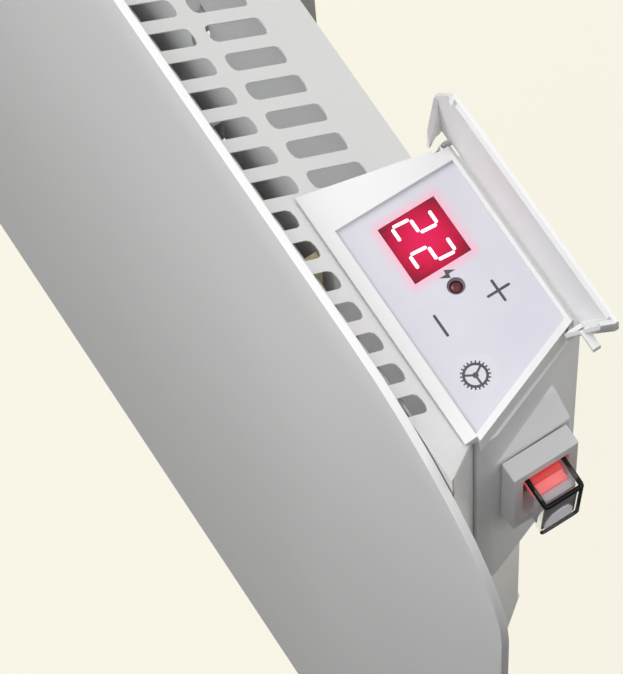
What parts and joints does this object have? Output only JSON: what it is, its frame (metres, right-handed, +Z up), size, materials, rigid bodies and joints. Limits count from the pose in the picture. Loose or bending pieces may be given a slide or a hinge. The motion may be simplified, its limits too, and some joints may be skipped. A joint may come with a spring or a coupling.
{
  "type": "wall panel convector heater",
  "caption": "Slim wall-hung electric panel convector with a pillow-shaped steel front, a sloping slotted outlet and a lidded digital control unit with an illuminated rocker switch.",
  "frame": {"origin": "middle of the wall bracket's back face, which lies on the wall", "axes": "+X to the right of someone facing the heater, +Y into the wall, +Z up"},
  "size_m": [0.6, 0.08, 0.3922],
  "materials": {
    "enamel": "white powder coat on steel sheet, satin",
    "galvanised": "bare galvanised steel sheet",
    "white_plastic": "white moulded ABS, fine texture",
    "key_plastic": "pale grey key caps flush with the fascia",
    "fascia_film": "pale lilac grey printed film on a plastic plate",
    "red_filter": "deep red translucent window, lit from behind",
    "dark_plastic": "black moulded plastic",
    "clear_plastic": "clear moulded rocker cap with a red lamp strip inside",
    "lamp_red": "dark red lamp lens, unlit",
    "board_green": "green circuit board",
    "aluminium": "cast aluminium fins round the heating wire",
    "mica": "heat-proof insulating board",
    "zinc_steel": "zinc-plated steel",
    "grey_plastic": "grey moulded plastic"
  },
  "bodies": {
    "heater": {"casing_screw_1": "zinc_steel", "casing_screw_2": "zinc_steel", "casing_screw_3": "zinc_steel", "casing_screw_4": "zinc_steel", "circuit_board": "board_green", "control_frame": "white_plastic", "control_housing": "white_plastic", "cord_inlet": "grey_plastic", "display_module": "dark_plastic", "display_window": "red_filter", "element_support_left": "mica", "element_support_right": "mica", "end_plate_left": "enamel", "end_plate_right": "enamel", "fascia": "fascia_film", "front_panel": "enamel", "front_plate": "galvanised", "heating_element": "aluminium", "indicator_lamp": "lamp_red", "inlet_grille": "enamel", "lid_hinge_pin_1": "zinc_steel", "lid_hinge_pin_2": "zinc_steel", "minus_switch": "dark_plastic", "outlet_grille": "enamel", "panel_hook_1": "galvanised", "panel_hook_2": "galvanised", "panel_hook_3": "galvanised", "panel_hook_4": "galvanised", "plus_switch": "dark_plastic", "rear_casing": "enamel", "rocker_axle": "zinc_steel", "settings_switch": "dark_plastic", "switch_bezel": "white_plastic", "switch_body": "dark_plastic", "temperature_sensor": "grey_plastic", "terminal_block": "grey_plastic", "thermal_cutout": "dark_plastic", "wall_bracket": "zinc_steel", "wall_spacer_left": "grey_plastic", "wall_spacer_right": "grey_plastic"},
    "lid": {"lid": "white_plastic"},
    "rocker": {"rocker": "clear_plastic"},
    "plus_key": {"plus_button": "key_plastic"},
    "minus_key": {"minus_button": "key_plastic"},
    "settings_key": {"settings_button": "key_plastic"},
    "catch": {"bracket_catch": "grey_plastic"}
  },
  "joints": [
    {"name": "lid_hinge", "type": "hinge", "parent": "heater", "child": "lid", "pos_m": [0.235, -0.0297, 0.1721], "axis": [1, 0, 0], "range_deg": [0, 87.4]},
    {"name": "rocker_tilt", "type": "hinge", "parent": "heater", "child": "rocker", "pos_m": [0.2698, -0.0455, 0.1285], "axis": [0, 1, 0], "range_deg": [-11, 0]},
    {"name": "plus_key_press", "type": "slide", "parent": "heater", "child": "plus_key", "axis": [0, 0, -1], "range_m": [0, 0.0005], "stiffness_N_per_m": 300},
    {"name": "minus_key_press", "type": "slide", "parent": "heater", "child": "minus_key", "axis": [0, 0, -1], "range_m": [0, 0.0005], "stiffness_N_per_m": 300},
    {"name": "settings_key_press", "type": "slide", "parent": "heater", "child": "settings_key", "axis": [0, 0, -1], "range_m": [0, 0.0005], "stiffness_N_per_m": 300},
    {"name": "catch_slide", "type": "slide", "parent": "heater", "child": "catch", "axis": [0, 1, 0], "range_m": [0, 0.007]}
  ]
}
